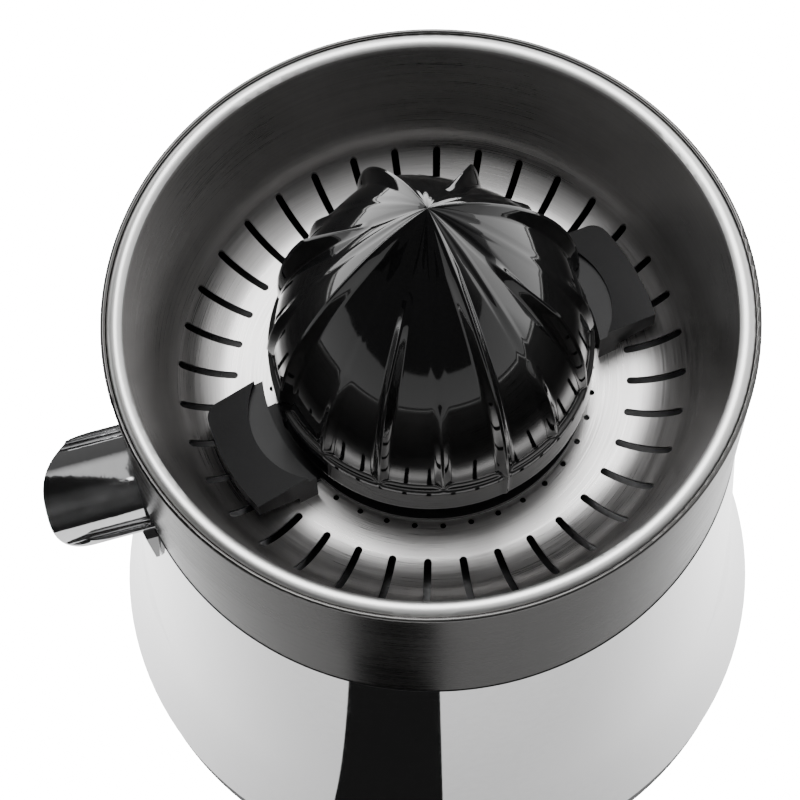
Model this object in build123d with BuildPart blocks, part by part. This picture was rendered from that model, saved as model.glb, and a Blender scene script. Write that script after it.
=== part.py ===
from build123d import *
import os
from math import acos, cos, pi, radians, sin, sqrt, tan

# Electric citrus press. Millimetres. The origin is on the main axis, on the plane the foot
# stands on. +Z is up and the pouring spout points along -Y.

os.makedirs("parts", exist_ok=True)

# ---------------------------------------------------------------- driving dimensions
RIM_Z = 224.0  # plane of the bowl's rim
RIM_R = 100.7  # outer radius of the rim
BAND_H = 66.7  # height of the brushed band
BAND_Z = RIM_Z - BAND_H  # lower edge of the band
CONE_APEX_Z = RIM_Z + 66.0  # tip of the juicing cone
SEAM = 0.3  # hairline gap between the band and the body
SHEET = 1.0  # gauge of the formed steel
FIT = 0.05  # radial gap of running and seated fits

SHELL_TOP_Z = BAND_Z - SEAM
SHELL_TOP_R = 98.8
SKIRT_Z = 17.0  # lower edge of the flared skirt
SKIRT_R = 113.0
FLARE_Z = 58.0  # where the straight wall turns into the flare
FLARE_R = 104.0
COLLAR_R = 97.1  # collar that centres the bowl
COLLAR_H = 6.0

FLOOR_Z = RIM_Z - 48.0  # top of the filter's floor
SLOT_COUNT = 36
SLOT_WIDTH = 2.4
SLOT_IN_R, SLOT_OUT_R = 62.0, 80.4
SLOT_PHASE, HOLE_PHASE = 2.8, 7.9
HOLE_RING_R, HOLE_R = 51.0, 0.95
WING_AZIMUTH = 101.8  # one handle wing; the other is opposite

CONE_BASE_Z = RIM_Z - 33.5
CONE_WIDE_Z = RIM_Z - 22.0  # where the fins stand furthest out
CONE_R = 52.2  # over the crests of the fins
CONE_BAND_R = 50.9  # smooth band round the cone's lower edge
CONE_PHASE = 10.8  # azimuth of one main fin

# the spout is an open trough, half an ellipse in section, let in under the edge of the band
TROUGH_HALF_W = 19.0
TROUGH_DEPTH = 12.0
TROUGH_RIM_Z = RIM_Z - 62.0
TROUGH_ROOT_Y, TROUGH_TIP_Y = 89.6, 129.7
TROUGH_TIP_L = 22.5  # length of the rounded tip
NOTCH_GAP = 1.3  # between the trough and the body under it

SPINDLE_R = 4.5
HEX_ACROSS = 7.7
HEX_GAP = 0.12
CHIMNEY_IN_R = 12.5
CHIMNEY_TOP_Z = 206.0
BOSS_R = 11.6
BOSS_TOP_Z = 199.0

IDLER_X, IDLER_Y = 36.0 * cos(radians(150)), 36.0 * sin(radians(150))
MOTOR_X, MOTOR_Y = IDLER_X, IDLER_Y + 28.8
PRESSURE_ANGLE = radians(25)
FAST_MODULE, SLOW_MODULE = 0.8, 1.0
PINION_TEETH, WHEEL_TEETH = 12, 60
BACKLASH = 0.16  # thinning of each tooth at the pitch circle

TRAY_Z, TRAY_TOP_Z, LID_TOP_Z = 108.0, 134.0, 137.0
DECK_Z = 147.0  # underside of the deck
POST_R = 85.0
POST_ANGLES = (30, 150, 270)
LUGS = ((41, 0), (0, -41), (-66, 16), (-31, 72))
SCREW_R = 1.6
SCREW_GAP = 0.06


def polar(radius, degrees):
    """A point in the plane at this radius and azimuth."""
    return radius * cos(radians(degrees)), radius * sin(radians(degrees))


def save(part, label):
    """Label one finished piece and write it."""
    part.label = label
    export_step(part, f"parts/{label}.step")


def trough_section(gap):
    """Sketch plane filled with the trough's section, grown by a gap."""
    with Locations((0, TROUGH_RIM_Z)):
        Ellipse(TROUGH_HALF_W + gap, TROUGH_DEPTH + gap)


def hexagon_radius(across):
    """Corner radius of a hexagon from its width across flats."""
    return across / sqrt(3)


# ---------------------------------------------------------------- foot and base
GROOVE_Z = 4.0
with BuildPart() as foot_ring:
    with BuildSketch(Plane.XY):
        Circle(103)
        Circle(95, mode=Mode.SUBTRACT)
    extrude(amount=GROOVE_Z)
    fillet(foot_ring.edges().group_by(Axis.Z)[0], 0.8)
save(foot_ring.part, "foot_ring")

BASE_Z = 2.5
BASE_R = 111.6
BASE_FLOOR_Z = 6.5
GLAND_Z = 11.5
VENT_COUNT = 9
with BuildPart() as base_plate:
    with BuildSketch(Plane.XY.offset(BASE_Z)):
        Circle(BASE_R)
    extrude(amount=SKIRT_Z - BASE_Z)
    chamfer(base_plate.edges().group_by(Axis.Z)[0], 1.5)
    # locating wall inside the steel skirt
    with BuildSketch(Plane.XY.offset(SKIRT_Z)):
        Circle(107)
    extrude(amount=7)
    with BuildSketch(Plane.XY.offset(BASE_FLOOR_Z)):
        Circle(104.5)
    extrude(amount=30, mode=Mode.SUBTRACT)
    # groove for the foot
    with BuildSketch(Plane.XY.offset(BASE_Z)):
        Circle(103 + FIT)
        Circle(95 - FIT, mode=Mode.SUBTRACT)
    extrude(amount=GROOVE_Z - BASE_Z, mode=Mode.SUBTRACT)
    # pillars that carry the tie posts
    with BuildSketch(Plane.XY.offset(BASE_FLOOR_Z)):
        with PolarLocations(POST_R, len(POST_ANGLES), start_angle=POST_ANGLES[0]):
            Circle(6)
    extrude(amount=3.5)
    with BuildSketch(Plane.XY.offset(BASE_Z)):
        with PolarLocations(POST_R, len(POST_ANGLES), start_angle=POST_ANGLES[0]):
            Circle(3.6)
    extrude(amount=3, mode=Mode.SUBTRACT)
    with BuildSketch(Plane.XY):
        with PolarLocations(POST_R, len(POST_ANGLES), start_angle=POST_ANGLES[0]):
            Circle(SCREW_R + SCREW_GAP)
    extrude(amount=20, mode=Mode.SUBTRACT)
    # air slots under the motor's fan
    with BuildSketch(Plane.XY):
        with Locations((MOTOR_X, MOTOR_Y)):
            with PolarLocations(15, VENT_COUNT):
                SlotOverall(16, 2.6)
    extrude(amount=20, mode=Mode.SUBTRACT)
    # hole for the cord gland
    with BuildSketch(Plane.YZ.offset(-(BASE_R + 5))):
        with Locations((0, GLAND_Z)):
            Circle(3.9)
    extrude(amount=15, mode=Mode.SUBTRACT)
save(base_plate.part, "base_plate")

CORD_BORE_R = 3.0
with BuildPart() as cord_gland:
    with BuildSketch(Plane.XZ):
        with BuildLine():
            Polyline(
                (-102.0, GLAND_Z + CORD_BORE_R),
                (-102.0, GLAND_Z + 4.6),
                (-104.0, GLAND_Z + 4.6),
                (-104.4, GLAND_Z + 3.85),
                (-112.0, GLAND_Z + 3.85),
                (-112.0, GLAND_Z + 4.6),
                (-114.0, GLAND_Z + 4.6),
                (-124.0, GLAND_Z + 3.8),
                (-124.0, GLAND_Z + CORD_BORE_R),
                close=True,
            )
        make_face()
    revolve(axis=Axis((0, 0, GLAND_Z), (1, 0, 0)))
save(cord_gland.part, "cord_gland")

with BuildPart() as base_screws:
    with BuildSketch(Plane.XY.offset(3.5)):
        with PolarLocations(POST_R, len(POST_ANGLES), start_angle=POST_ANGLES[0]):
            Circle(3.4)
    extrude(amount=2)
    with BuildSketch(Plane.XY.offset(3.5)):
        with PolarLocations(POST_R, len(POST_ANGLES), start_angle=POST_ANGLES[0]):
            Rectangle(4.4, 0.8)
            Rectangle(0.8, 4.4)
    extrude(amount=1, mode=Mode.SUBTRACT)
    with BuildSketch(Plane.XY.offset(5.5)):
        with PolarLocations(POST_R, len(POST_ANGLES), start_angle=POST_ANGLES[0]):
            Circle(SCREW_R)
    extrude(amount=13)
save(base_screws.part, "base_screws")

# ---------------------------------------------------------------- body shell
with BuildPart() as housing_shell:
    with BuildSketch(Plane.XZ):
        with BuildLine():
            wall_slope = (FLARE_R - SHELL_TOP_R, FLARE_Z - SHELL_TOP_Z)
            Line((SHELL_TOP_R, SHELL_TOP_Z), (FLARE_R, FLARE_Z))
            TangentArc((FLARE_R, FLARE_Z), (SKIRT_R, SKIRT_Z), tangent=wall_slope)
            Line((SKIRT_R, SKIRT_Z), (SKIRT_R - SHEET, SKIRT_Z))
            TangentArc(
                (FLARE_R - SHEET, FLARE_Z), (SKIRT_R - SHEET, SKIRT_Z), tangent=wall_slope
            )
            Polyline(
                (FLARE_R - SHEET, FLARE_Z),
                (SHELL_TOP_R - SHEET, SHELL_TOP_Z - SHEET),
                (92.0, SHELL_TOP_Z - SHEET),
                (92.0, SHELL_TOP_Z),
                (COLLAR_R - SHEET, SHELL_TOP_Z),
                (COLLAR_R - SHEET, SHELL_TOP_Z + COLLAR_H),
                (COLLAR_R, SHELL_TOP_Z + COLLAR_H),
                (COLLAR_R, SHELL_TOP_Z),
                (SHELL_TOP_R, SHELL_TOP_Z),
            )
        make_face()
    revolve(axis=Axis.Z)
    # notch that the trough drops into
    with BuildSketch(Plane.XZ.offset(TROUGH_ROOT_Y - NOTCH_GAP)):
        trough_section(NOTCH_GAP)
    extrude(amount=20, mode=Mode.SUBTRACT)
save(housing_shell.part, "housing_shell")

# ---------------------------------------------------------------- deck under the bowl
DECK_RIM_Z = 160.0
DECK_FLOOR_Z = 150.0
BUSH_Z, BUSH_TOP_Z = 180.0, 195.8
with BuildPart() as top_deck:
    with BuildSketch(Plane.XZ):
        with BuildLine():
            Polyline(
                (9.2, DECK_Z),
                (91.5, DECK_Z),
                (91.5, SHELL_TOP_Z),
                (95.8, SHELL_TOP_Z),
                (95.8, DECK_RIM_Z),
                (88.5, DECK_RIM_Z),
                (88.5, DECK_FLOOR_Z),
                (BOSS_R, DECK_FLOOR_Z),
                (BOSS_R, BOSS_TOP_Z),
                (9.5, BOSS_TOP_Z),
                (9.5, 196.0),
                (7.55, 196.0),
                (7.55, BUSH_Z - 2),
                (9.2, BUSH_Z - 2),
                close=True,
            )
        make_face()
    revolve(axis=Axis.Z)
    # bosses that hang the gearbox and take the posts
    with BuildSketch(Plane.XY.offset(LID_TOP_Z)):
        with Locations(*LUGS):
            Circle(5)
    extrude(amount=DECK_Z - LID_TOP_Z)
    with BuildSketch(Plane.XY.offset(LID_TOP_Z)):
        with Locations(*LUGS):
            Circle(SCREW_R + SCREW_GAP)
    extrude(amount=9, mode=Mode.SUBTRACT)
    with BuildSketch(Plane.XY.offset(DECK_Z - 1)):
        with PolarLocations(POST_R, len(POST_ANGLES), start_angle=POST_ANGLES[0]):
            Circle(SCREW_R + SCREW_GAP)
    extrude(amount=10, mode=Mode.SUBTRACT)
    # notch that the trough drops into
    with BuildSketch(Plane.XZ.offset(TROUGH_ROOT_Y - NOTCH_GAP)):
        trough_section(NOTCH_GAP)
    extrude(amount=20, mode=Mode.SUBTRACT)
save(top_deck.part, "top_deck")

with BuildPart() as deck_screws:
    with BuildSketch(Plane.XY.offset(DECK_FLOOR_Z)):
        with PolarLocations(POST_R, len(POST_ANGLES), start_angle=POST_ANGLES[0]):
            Circle(3.2)
    extrude(amount=2)
    with BuildSketch(Plane.XY.offset(DECK_FLOOR_Z + 1)):
        with PolarLocations(POST_R, len(POST_ANGLES), start_angle=POST_ANGLES[0]):
            Rectangle(4.2, 0.8)
            Rectangle(0.8, 4.2)
    extrude(amount=1, mode=Mode.SUBTRACT)
    with BuildSketch(Plane.XY.offset(DECK_FLOOR_Z)):
        with PolarLocations(POST_R, len(POST_ANGLES), start_angle=POST_ANGLES[0]):
            Circle(SCREW_R)
    extrude(amount=-10)
save(deck_screws.part, "deck_screws")

POST_Z = BASE_FLOOR_Z + 3.5
with BuildPart() as tie_posts:
    with BuildSketch(Plane.XY.offset(POST_Z)):
        with PolarLocations(POST_R, len(POST_ANGLES), start_angle=POST_ANGLES[0]):
            Circle(4)
    extrude(amount=DECK_Z - POST_Z)
    with BuildSketch(Plane.XY.offset(POST_Z)):
        with PolarLocations(POST_R, len(POST_ANGLES), start_angle=POST_ANGLES[0]):
            Circle(SCREW_R + SCREW_GAP)
    extrude(amount=12, mode=Mode.SUBTRACT)
    with BuildSketch(Plane.XY.offset(DECK_Z)):
        with PolarLocations(POST_R, len(POST_ANGLES), start_angle=POST_ANGLES[0]):
            Circle(SCREW_R + SCREW_GAP)
    extrude(amount=-12, mode=Mode.SUBTRACT)
save(tie_posts.part, "tie_posts")

with BuildPart() as spindle_bush:
    with BuildSketch(Plane.XY.offset(BUSH_Z)):
        Circle(7.5)
        Circle(SPINDLE_R + FIT, mode=Mode.SUBTRACT)
    extrude(amount=BUSH_TOP_Z - BUSH_Z)
    chamfer(spindle_bush.edges().filter_by(GeomType.CIRCLE).group_by(SortBy.RADIUS)[-1], 0.4)
save(spindle_bush.part, "spindle_bush")

with BuildPart() as shaft_seal:
    with BuildSketch(Plane.XZ):
        with BuildLine():
            Polyline(
                (9.4, 196.1),
                (9.4, 198.9),
                (7.4, 198.9),
                (7.4, 197.4),
                (5.6, 197.4),
                (SPINDLE_R + FIT, 198.6),
                (SPINDLE_R + FIT, 197.6),
                (5.4, 196.1),
                close=True,
            )
        make_face()
    revolve(axis=Axis.Z)
save(shaft_seal.part, "shaft_seal")

# ---------------------------------------------------------------- bowl that catches the juice
with BuildPart() as juice_bowl:
    with BuildSketch(Plane.XZ):
        with BuildLine():
            FilletPolyline(
                (98.4, 221.8),
                (96.2, DECK_RIM_Z),
                (80.0, DECK_RIM_Z),
                (CHIMNEY_IN_R, 166.5),
                (CHIMNEY_IN_R, CHIMNEY_TOP_Z),
                radius=[7, 30, 4],
            )
            offset(amount=SHEET, side=Side.RIGHT)
        make_face()
    revolve(axis=Axis.Z)
    # hole over the root of the trough
    with BuildSketch(Plane.XZ.offset(TROUGH_ROOT_Y - FIT)):
        trough_section(FIT)
        with Locations((0, TROUGH_RIM_Z + FIT)):
            Rectangle(50, 30, align=(Align.CENTER, Align.MIN), mode=Mode.SUBTRACT)
    extrude(amount=20, mode=Mode.SUBTRACT)
save(juice_bowl.part, "juice_bowl")

WALL_SLOT_GAP = 0.15
with BuildPart() as bowl_band:
    with BuildSketch(Plane.XZ):
        with BuildLine():
            Polyline(
                (RIM_R - SHEET, RIM_Z - 1.9),
                (RIM_R - 0.2 - SHEET, RIM_Z - 5),
                (SHELL_TOP_R - SHEET, BAND_Z),
                (SHELL_TOP_R, BAND_Z),
                (RIM_R, RIM_Z - 1.6),
            )
            # the sheet is rolled over into a round bead at the rim
            ThreePointArc(
                (RIM_R, RIM_Z - 1.6), (RIM_R - 0.75, RIM_Z - 0.35), (99.3, RIM_Z - 0.9)
            )
            Line((99.3, RIM_Z - 0.9), (RIM_R - SHEET, RIM_Z - 1.9))
        make_face()
    revolve(axis=Axis.Z)
    # slots that the trough's side walls pass through
    with BuildSketch(Plane.XZ.offset(TROUGH_ROOT_Y)):
        trough_section(WALL_SLOT_GAP)
        with Locations((0, TROUGH_RIM_Z)):
            Ellipse(
                TROUGH_HALF_W - SHEET - WALL_SLOT_GAP,
                TROUGH_DEPTH - SHEET - WALL_SLOT_GAP,
                mode=Mode.SUBTRACT,
            )
        with Locations((0, TROUGH_RIM_Z + WALL_SLOT_GAP)):
            Rectangle(50, 30, align=(Align.CENTER, Align.MIN), mode=Mode.SUBTRACT)
    extrude(amount=15, mode=Mode.SUBTRACT)
save(bowl_band.part, "bowl_band")

# ---------------------------------------------------------------- pouring spout
TIP_SQUARENESS = 2.7
TIP_POINTS = 13


def tip_point(index):
    """A point on the rounded tip of the trough, seen from above."""
    angle = pi * index / (TIP_POINTS - 1)
    across = abs(cos(angle)) ** (2 / TIP_SQUARENESS)
    along = sin(angle) ** (2 / TIP_SQUARENESS)
    side = 1 if 2 * index < TIP_POINTS - 1 else -1
    return side * TROUGH_HALF_W * across, -TROUGH_TIP_Y + TROUGH_TIP_L * (1 - along)


with BuildPart() as spout:
    with BuildSketch(Plane.XZ.offset(TROUGH_ROOT_Y)):
        trough_section(0)
        with Locations((0, TROUGH_RIM_Z)):
            Rectangle(50, 30, align=(Align.CENTER, Align.MIN), mode=Mode.SUBTRACT)
    extrude(amount=TROUGH_TIP_Y - TROUGH_ROOT_Y)
    # hollow it from just inside the root, which stays closed
    with BuildSketch(Plane.XZ.offset(TROUGH_ROOT_Y + SHEET)):
        trough_section(-SHEET)
    extrude(amount=60, mode=Mode.SUBTRACT)
    # the bowl's floor runs out over the closed root
    with BuildSketch(Plane.XZ.offset(TROUGH_ROOT_Y)):
        with Locations((0, DECK_RIM_Z)):
            Rectangle(2 * TROUGH_HALF_W, 10, align=(Align.CENTER, Align.MIN))
    extrude(amount=SHEET, mode=Mode.SUBTRACT)
    # rounded tip
    with BuildSketch(Plane.XY.offset(TROUGH_RIM_Z - 20)):
        with BuildLine():
            Spline([tip_point(index) for index in range(TIP_POINTS)])
            Polyline(
                (-TROUGH_HALF_W, TROUGH_TIP_L - TROUGH_TIP_Y),
                (-TROUGH_HALF_W, -TROUGH_ROOT_Y),
                (TROUGH_HALF_W, -TROUGH_ROOT_Y),
                (TROUGH_HALF_W, TROUGH_TIP_L - TROUGH_TIP_Y),
            )
        make_face()
    extrude(amount=30, mode=Mode.INTERSECT)
save(spout.part, "spout")

FOOT_TOP_Z, FOOT_Z = BAND_Z - SEAM, RIM_Z - 86.5
FOOT_HALF_W = 20.5
FOOT_GAP = 0.3


def shell_radius(z):
    """Outer radius of the body's straight wall at this height."""
    return SHELL_TOP_R + (SHELL_TOP_Z - z) * (FLARE_R - SHELL_TOP_R) / (SHELL_TOP_Z - FLARE_Z)


with BuildPart() as spout_foot:
    # wedge that follows the body's wall, thick under the trough and thin at its lower edge
    with BuildSketch(Plane.XZ):
        with BuildLine():
            Polyline(
                (shell_radius(FOOT_TOP_Z) + FOOT_GAP, FOOT_TOP_Z),
                (shell_radius(FOOT_TOP_Z) + 4.1, FOOT_TOP_Z),
                (shell_radius(FOOT_Z) + 1.0, FOOT_Z),
                (shell_radius(FOOT_Z) + FOOT_GAP, FOOT_Z),
                close=True,
            )
        make_face()
    revolve(axis=Axis.Z)
    with BuildSketch(Plane.XZ.offset(TROUGH_ROOT_Y)):
        with Locations((0, FOOT_Z)):
            Rectangle(2 * FOOT_HALF_W, 30, align=(Align.CENTER, Align.MIN))
            fillet(vertices().group_by(Axis.Z)[0], 4)
    extrude(amount=20, mode=Mode.INTERSECT)
    # cradle for the trough
    with BuildSketch(Plane.XZ.offset(TROUGH_ROOT_Y)):
        trough_section(0)
    extrude(amount=20, mode=Mode.SUBTRACT)
save(spout_foot.part, "spout_foot")

# ---------------------------------------------------------------- filter
FILTER_SHEET = 0.8
LIP_R = 99.1
FILTER_COLLAR_R = 15.6
FILTER_COLLAR_Z = 198.0
with BuildPart() as filter_basket:
    with BuildSketch(Plane.XZ):
        with BuildLine():
            ThreePointArc((LIP_R, RIM_Z - 1.3), (96.9, RIM_Z), (94.2, RIM_Z - 1.0))
            FilletPolyline(
                (94.2, RIM_Z - 1.0),
                (79.5, FLOOR_Z),
                (FILTER_COLLAR_R + FILTER_SHEET, FLOOR_Z),
                (FILTER_COLLAR_R + FILTER_SHEET, FILTER_COLLAR_Z),
                radius=[23.5, 5],
            )
            offset(amount=FILTER_SHEET, side=Side.RIGHT)
        make_face()
    revolve(axis=Axis.Z)
    with BuildSketch(Plane.XY.offset(FLOOR_Z - 5)):
        slot_middle = (SLOT_IN_R + SLOT_OUT_R) / 2
        with PolarLocations(slot_middle, SLOT_COUNT, start_angle=SLOT_PHASE):
            SlotOverall(SLOT_OUT_R - SLOT_IN_R, SLOT_WIDTH)
        with PolarLocations(HOLE_RING_R, SLOT_COUNT, start_angle=HOLE_PHASE):
            Circle(HOLE_R)
    extrude(amount=18, mode=Mode.SUBTRACT)
save(filter_basket.part, "filter_basket")

WING_IN_R, WING_OUT_R = 53.6, 72.8
WING_HALF_W = 18.8
WING_TOP_Z = RIM_Z - 32.0
WING_FALL = 5.0  # of its top, from the cone to its outer end
SCOOP_R, SCOOP_CENTRE, SCOOP_DEPTH = 25.0, 36.5, 3.2  # thumb scoop, open towards the cone
HUB_RING_Z = FLOOR_Z + 1.6
with BuildPart() as filter_handle_ring:
    # two slabs, rounded at their outer corners, higher at the cone than at their ends
    for azimuth in (WING_AZIMUTH, WING_AZIMUTH + 180):
        wing_plane = Plane.XY.offset(FLOOR_Z).rotated((0, 0, azimuth))
        with BuildSketch(wing_plane):
            with Locations(((WING_OUT_R + 30) / 2, 0)):
                Rectangle(WING_OUT_R - 30, 2 * WING_HALF_W)
            Circle(WING_OUT_R, mode=Mode.INTERSECT)
            far_point = wing_plane.from_local_coords((RIM_R, 0, 0))
            fillet(vertices().sort_by_distance(far_point)[:2], 5)
        extrude(amount=WING_TOP_Z - FLOOR_Z)
    for azimuth in (WING_AZIMUTH, WING_AZIMUTH + 180):
        side_plane = Plane.XZ.rotated((0, 0, azimuth))
        with BuildSketch(side_plane):
            with BuildLine():
                Polyline(
                    (WING_IN_R + 3, FLOOR_Z - 1),
                    (WING_IN_R + 3, FLOOR_Z + 3.5),
                    (WING_OUT_R + 2, FLOOR_Z + 6.0),
                    (WING_OUT_R + 2, FLOOR_Z - 1),
                    close=True,
                )
            make_face()
            with BuildLine():
                Polyline(
                    (WING_IN_R - 2, WING_TOP_Z),
                    (WING_IN_R - 2, WING_TOP_Z + 9),
                    (WING_OUT_R + 2, WING_TOP_Z + 9),
                    (WING_OUT_R + 2, WING_TOP_Z - WING_FALL),
                    close=True,
                )
            make_face()
        extrude(amount=25, both=True, mode=Mode.SUBTRACT)
    for azimuth in (WING_AZIMUTH, WING_AZIMUTH + 180):
        with BuildSketch(Plane.XY.offset(WING_TOP_Z - SCOOP_DEPTH).rotated((0, 0, azimuth))):
            with Locations((SCOOP_CENTRE, 0)):
                Circle(SCOOP_R)
        extrude(amount=SCOOP_DEPTH + 1, mode=Mode.SUBTRACT)
    # room for the turning cone, then the ring that joins the wings under it
    with BuildSketch(Plane.XY.offset(FLOOR_Z)):
        Circle(WING_IN_R)
    extrude(amount=40, mode=Mode.SUBTRACT)
    with BuildSketch(Plane.XY.offset(FLOOR_Z)):
        Circle(49.2)
        Circle(38, mode=Mode.SUBTRACT)
    extrude(amount=HUB_RING_Z - FLOOR_Z)
    for azimuth in (WING_AZIMUTH, WING_AZIMUTH + 180):
        with BuildSketch(Plane.XY.offset(FLOOR_Z).rotated((0, 0, azimuth))):
            with Locations((51.4, 0)):
                Rectangle(8, 30)
        extrude(amount=HUB_RING_Z - FLOOR_Z)
save(filter_handle_ring.part, "filter_handle_ring")

# ---------------------------------------------------------------- juicing cone
# heights of the lofted sections, from the rim's plane
CONE_LEVELS = (-33.5, -21.5, -13.5, -6, 2, 10, 18, 26, 34, 44.5, 52, 58, 62.5, 65.4)
CONE_LEDGE = CONE_LEVELS[1]  # the panels step out to the smooth band below this level
PANEL_DEPTH = 0.055  # of the crests' radius
VALLEY_DEPTH = 0.34  # further, half way between two main fins, towards the tip
FIN_HALF_W = 3.0
FIN_FOOT_HALF_W = 1.2
SECOND_TOP, SECOND_FADE = 44.5, 22.0  # where the second fins start, and full height below that
THIRD_TOP, THIRD_FADE = 16.0, 14.0
THIRD_HEIGHT = 2.0


def rise(z):
    """0 where the cone is widest, 1 at its tip."""
    return max(0.0, (z + RIM_Z - CONE_WIDE_Z) / (CONE_APEX_Z - CONE_WIDE_Z))


def crest_radius(z):
    """Radius of the main fins' crests at this height above the rim."""
    tuck = 0.07 * max(0.0, CONE_WIDE_Z - RIM_Z - z)
    return CONE_R * (1 - rise(z) ** 2.1) ** 0.8 - tuck


def panel_radius(z, offset):
    """Radius of the panel at this height, so many degrees from the nearest main fin."""
    if z <= CONE_LEDGE:
        return CONE_BAND_R
    valley = VALLEY_DEPTH * rise(z) ** 1.5 * (0.3 + 0.7 * offset / 45)
    return crest_radius(z) * (1 - PANEL_DEPTH - valley)


def fin_radius(kind, z):
    """Radius of the crest of a main, second or third fin, or of the panel above its top end."""
    crest = crest_radius(z)
    if kind == "main":
        return crest
    if kind == "second":
        panel = panel_radius(z, 45)
        return panel + (0.97 * crest - panel) * min(1.0, max(0.0, (SECOND_TOP - z) / SECOND_FADE))
    if z <= CONE_LEDGE:
        return CONE_BAND_R
    return panel_radius(z, 22.5) + THIRD_HEIGHT * min(1.0, max(0.0, (THIRD_TOP - z) / THIRD_FADE))


def cone_outline(z):
    """Corners of the cone's section at this height, four main fins and the others between."""
    half_width = FIN_FOOT_HALF_W if z <= CONE_LEDGE else FIN_HALF_W
    half_angle = min(9.0, half_width / crest_radius(z) * 180 / pi)
    corners = []
    for quarter in range(4):
        for place, kind in enumerate(("main", "third", "second", "third")):
            for step in (-11.25, -half_angle, 0.0, half_angle):
                turn = 22.5 * place + step
                offset = min(abs(turn), 90 - abs(turn))
                radius = panel_radius(z, offset) if step else fin_radius(kind, z)
                corners.append(polar(radius, CONE_PHASE + 90 * quarter + turn))
    return corners


with BuildPart() as juicing_cone:
    for level in CONE_LEVELS:
        with BuildSketch(Plane.XY.offset(RIM_Z + level)):
            with BuildLine():
                Polyline(*cone_outline(level), close=True)
            make_face()
    loft(ruled=True)
    # hollow underside around the hub
    with BuildSketch(Plane.XZ):
        with BuildLine():
            Polyline(
                (0, CONE_BASE_Z - 1),
                (46.8, CONE_BASE_Z - 1),
                (46.8, 196),
                (45.3, 206),
                (42.6, 220),
                (38.0, 235),
                (31.5, 248),
                (22.0, 259),
                (12.0, 265),
                (11.8, 208),
                (0, 208),
                close=True,
            )
        make_face()
    revolve(axis=Axis.Z, mode=Mode.SUBTRACT)
    with BuildSketch(Plane.XY.offset(208)):
        Circle(8.5 + FIT)
    extrude(amount=30, mode=Mode.SUBTRACT)
save(juicing_cone.part, "juicing_cone")

DRIVE_Z = CHIMNEY_TOP_Z  # shoulder that the cone rests on
with BuildPart() as cone_insert:
    with BuildSketch(Plane.XY.offset(DRIVE_Z)):
        Circle(9.6)
    extrude(amount=2)
    with BuildSketch(Plane.XY.offset(DRIVE_Z)):
        Circle(8.5)
    extrude(amount=31)
    with BuildSketch(Plane.XY.offset(DRIVE_Z)):
        RegularPolygon(hexagon_radius(HEX_ACROSS + 2 * HEX_GAP), 6)
    extrude(amount=29, mode=Mode.SUBTRACT)
save(cone_insert.part, "cone_insert")

# ---------------------------------------------------------------- spindle
SPINDLE_Z, SPINDLE_TOP_Z = 99.9, 234.0
ROUND_Z = 142.0
with BuildPart() as drive_spindle:
    with BuildSketch(Plane.XY.offset(SPINDLE_Z)):
        RegularPolygon(hexagon_radius(HEX_ACROSS), 6)
    extrude(amount=SPINDLE_TOP_Z - SPINDLE_Z)
    with BuildSketch(Plane.XY.offset(ROUND_Z)):
        Circle(SPINDLE_R)
    extrude(amount=DRIVE_Z - ROUND_Z)
    chamfer(drive_spindle.faces().sort_by(Axis.Z)[-1].edges(), 0.8)
    chamfer(drive_spindle.faces().sort_by(Axis.Z)[0].edges(), 0.8)
save(drive_spindle.part, "drive_spindle")

with BuildPart() as spindle_collar:
    with BuildSketch(Plane.XY.offset(203)):
        Circle(7)
        Circle(SPINDLE_R + FIT, mode=Mode.SUBTRACT)
    extrude(amount=3)
save(spindle_collar.part, "spindle_collar")

SPRING_SEAT_Z = 137.2
CLIP_Z = 160.0
with BuildPart() as spring_washer:
    with BuildSketch(Plane.XY.offset(SPRING_SEAT_Z)):
        Circle(7.6)
        Circle(5.0, mode=Mode.SUBTRACT)
    extrude(amount=1)
save(spring_washer.part, "spring_washer")

WIRE_R = 0.6
with BuildPart() as return_spring:
    with BuildLine() as coil:
        Helix(
            pitch=3.3,
            height=CLIP_Z - SPRING_SEAT_Z - 1 - 2 * WIRE_R - 0.2,
            radius=6.2,
            center=(0, 0, SPRING_SEAT_Z + 1.1 + WIRE_R),
        )
    with BuildSketch(coil.line ^ 0):
        Circle(WIRE_R)
    sweep()
save(return_spring.part, "return_spring")

with BuildPart() as spring_clip:
    with BuildSketch(Plane.XY.offset(CLIP_Z)):
        Circle(8)
        Circle(SPINDLE_R + FIT, mode=Mode.SUBTRACT)
        with Locations((6.5, 0)):
            Rectangle(7, 3, mode=Mode.SUBTRACT)
    extrude(amount=1.4)
save(spring_clip.part, "spring_clip")

# ---------------------------------------------------------------- gears


def involute(angle):
    """The involute function of a pressure angle."""
    return tan(angle) - angle


def gear_outline(module, teeth, phase):
    """Corners of a spur gear with straight-chord involute flanks and one tooth at phase."""
    pitch_r = module * teeth / 2
    base_r = pitch_r * cos(PRESSURE_ANGLE)
    root_r = pitch_r - 1.25 * module
    half = pi / 2 / teeth - BACKLASH / 2 / pitch_r + involute(PRESSURE_ANGLE)
    flank = []
    for radius in (max(root_r, base_r), pitch_r, pitch_r + 0.5 * module, pitch_r + 0.95 * module):
        flank.append((radius, half - involute(acos(min(1.0, base_r / radius)))))
    if root_r < base_r:
        flank.insert(0, (root_r, flank[0][1]))
    corners = []
    for tooth in range(teeth):
        middle = radians(phase) + 2 * pi * tooth / teeth
        sides = [(r, -a) for r, a in flank] + [(r, a) for r, a in reversed(flank)]
        for radius, angle in sides:
            corners.append((radius * cos(middle + angle), radius * sin(middle + angle)))
    return corners


def tooth_phase(toward, teeth, gap):
    """Phase that puts a tooth, or a gap, on the line of centres at this azimuth."""
    return toward + (180 / teeth if gap else 0)


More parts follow.
